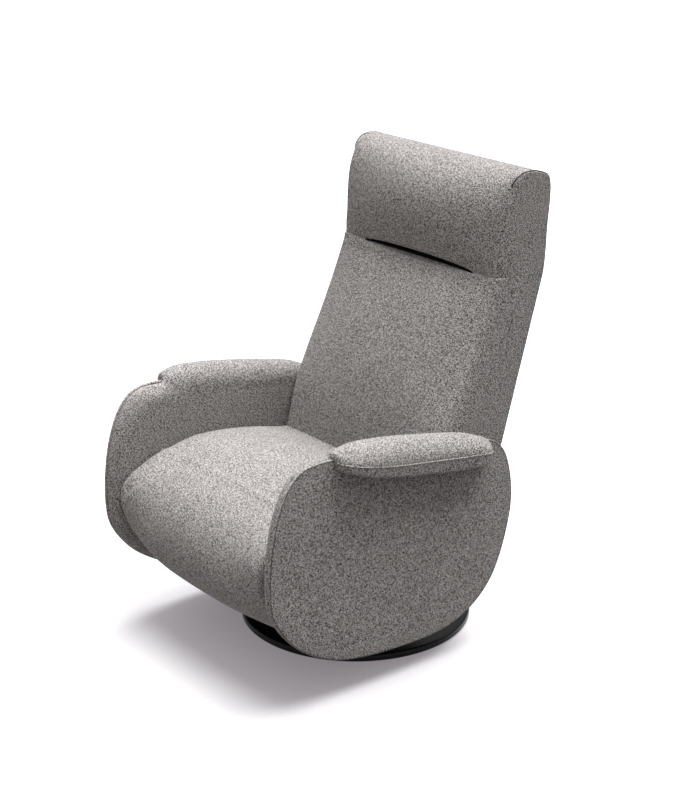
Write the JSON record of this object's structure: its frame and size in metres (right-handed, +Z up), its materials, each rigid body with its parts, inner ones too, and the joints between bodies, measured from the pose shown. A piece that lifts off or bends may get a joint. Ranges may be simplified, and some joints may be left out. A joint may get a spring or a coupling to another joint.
{
  "type": "swivel recliner armchair",
  "caption": "Upholstered swivel recliner with a round disc base, rounded panel arms with overhanging pads, a reclining back, a tilting head part and a legrest hidden in the seat front.",
  "frame": {"origin": "centre of the disc base on the floor, on the swivel axis", "axes": "+Z up, -Y to the front where the sitter faces, +X to the sitter's left"},
  "size_m": [0.754, 0.8358, 1.099],
  "materials": {
    "fabric": "woven, grey-beige melange",
    "black_plate": "gloss black",
    "dark_steel": "matt powder coat",
    "bright_steel": "zinc plated",
    "plywood": "raw",
    "felt": "felt",
    "webbing": "woven strap",
    "lining": "thin non-woven",
    "nylon": "natural",
    "black_plastic": "fine satin"
  },
  "bodies": {
    "base": {"floor_glides": "felt", "base_plate": "black_plate", "swivel_post": "dark_steel", "post_bolts": "bright_steel", "thrust_washer": "nylon"},
    "swivel_chair": {"swivel_bush": "nylon", "swivel_housing": "dark_steel", "flange_bolts": "bright_steel", "front_cross_beam": "dark_steel", "rear_cross_beam": "dark_steel", "left_side_plate": "dark_steel", "right_side_plate": "dark_steel", "seat_frame": "dark_steel", "seat_webbing": "webbing", "seat_cushion": "fabric", "left_slide_channel": "bright_steel", "right_slide_channel": "bright_steel", "rear_apron": "fabric", "dust_cover": "lining", "recline_pins": "bright_steel", "left_arm_core": "plywood", "left_arm_outer_cover": "fabric", "left_arm_inner_cover": "fabric", "left_arm_pad": "fabric", "right_arm_core": "plywood", "right_arm_outer_cover": "fabric", "right_arm_inner_cover": "fabric", "right_arm_pad": "fabric", "arm_bolts": "bright_steel", "gas_spring_anchor": "dark_steel", "lever_escutcheon": "black_plastic"},
    "backrest": {"back_frame": "dark_steel", "back_brackets": "dark_steel", "back_cushion": "fabric", "back_shell": "fabric", "back_lower_apron": "fabric", "back_webbing": "webbing"},
    "headrest": {"head_frame": "dark_steel", "head_cushion": "fabric", "head_shell": "fabric", "head_hinges": "bright_steel"},
    "legrest_carriage": {"left_runner": "dark_steel", "right_runner": "dark_steel", "legrest_shaft": "bright_steel"},
    "legrest": {"legrest_board": "plywood", "legrest_ears": "dark_steel", "legrest_cushion": "fabric"},
    "gas_cylinder": {"gas_spring_cylinder": "dark_steel"},
    "gas_rod": {"gas_spring_rod": "bright_steel"},
    "lever": {"release_lever": "black_plastic"}
  },
  "joints": [
    {"name": "swivel", "type": "hinge", "parent": "base", "child": "swivel_chair", "pos_m": [0, 0, 0.1], "axis": [0, 0, 1], "continuous": true},
    {"name": "recline", "type": "hinge", "parent": "swivel_chair", "child": "backrest", "pos_m": [0, 0.048, 0.36], "axis": [-1, 0, 0], "range_deg": [0, 38]},
    {"name": "head_tilt", "type": "hinge", "parent": "backrest", "child": "headrest", "pos_m": [0, 0.198, 0.852], "axis": [1, 0, 0], "range_deg": [0, 25]},
    {"name": "legrest_slide", "type": "slide", "parent": "swivel_chair", "child": "legrest_carriage", "axis": [0, -1, 0], "range_m": [0, 0.27]},
    {"name": "legrest_tilt", "type": "hinge", "parent": "legrest_carriage", "child": "legrest", "pos_m": [0, -0.337, 0.263], "axis": [-1, 0, 0], "range_deg": [0, 80]},
    {"name": "gas_cylinder_pivot", "type": "hinge", "parent": "swivel_chair", "child": "gas_cylinder", "pos_m": [0, -0.292, 0.235], "axis": [1, 0, 0], "range_deg": [0, 1]},
    {"name": "gas_rod_stroke", "type": "slide", "parent": "gas_cylinder", "child": "gas_rod", "axis": [0, -0.9984, -0.0558], "range_m": [0, 0.0716]},
    {"name": "release_lever", "type": "hinge", "parent": "swivel_chair", "child": "lever", "pos_m": [-0.34, -0.215, 0.33], "axis": [-1, 0, 0], "range_deg": [0, 25], "stiffness_Nm_per_rad": 0.8, "springref_deg": -28.65}
  ],
  "couplings": [
    {"joint": "legrest_tilt", "follows": "legrest_slide", "rad_per_m": 5.1693},
    {"joint": "gas_cylinder_pivot", "follows": "recline", "ratio": 0.01975},
    {"joint": "gas_rod_stroke", "follows": "recline", "m_per_rad": 0.10779}
  ]
}
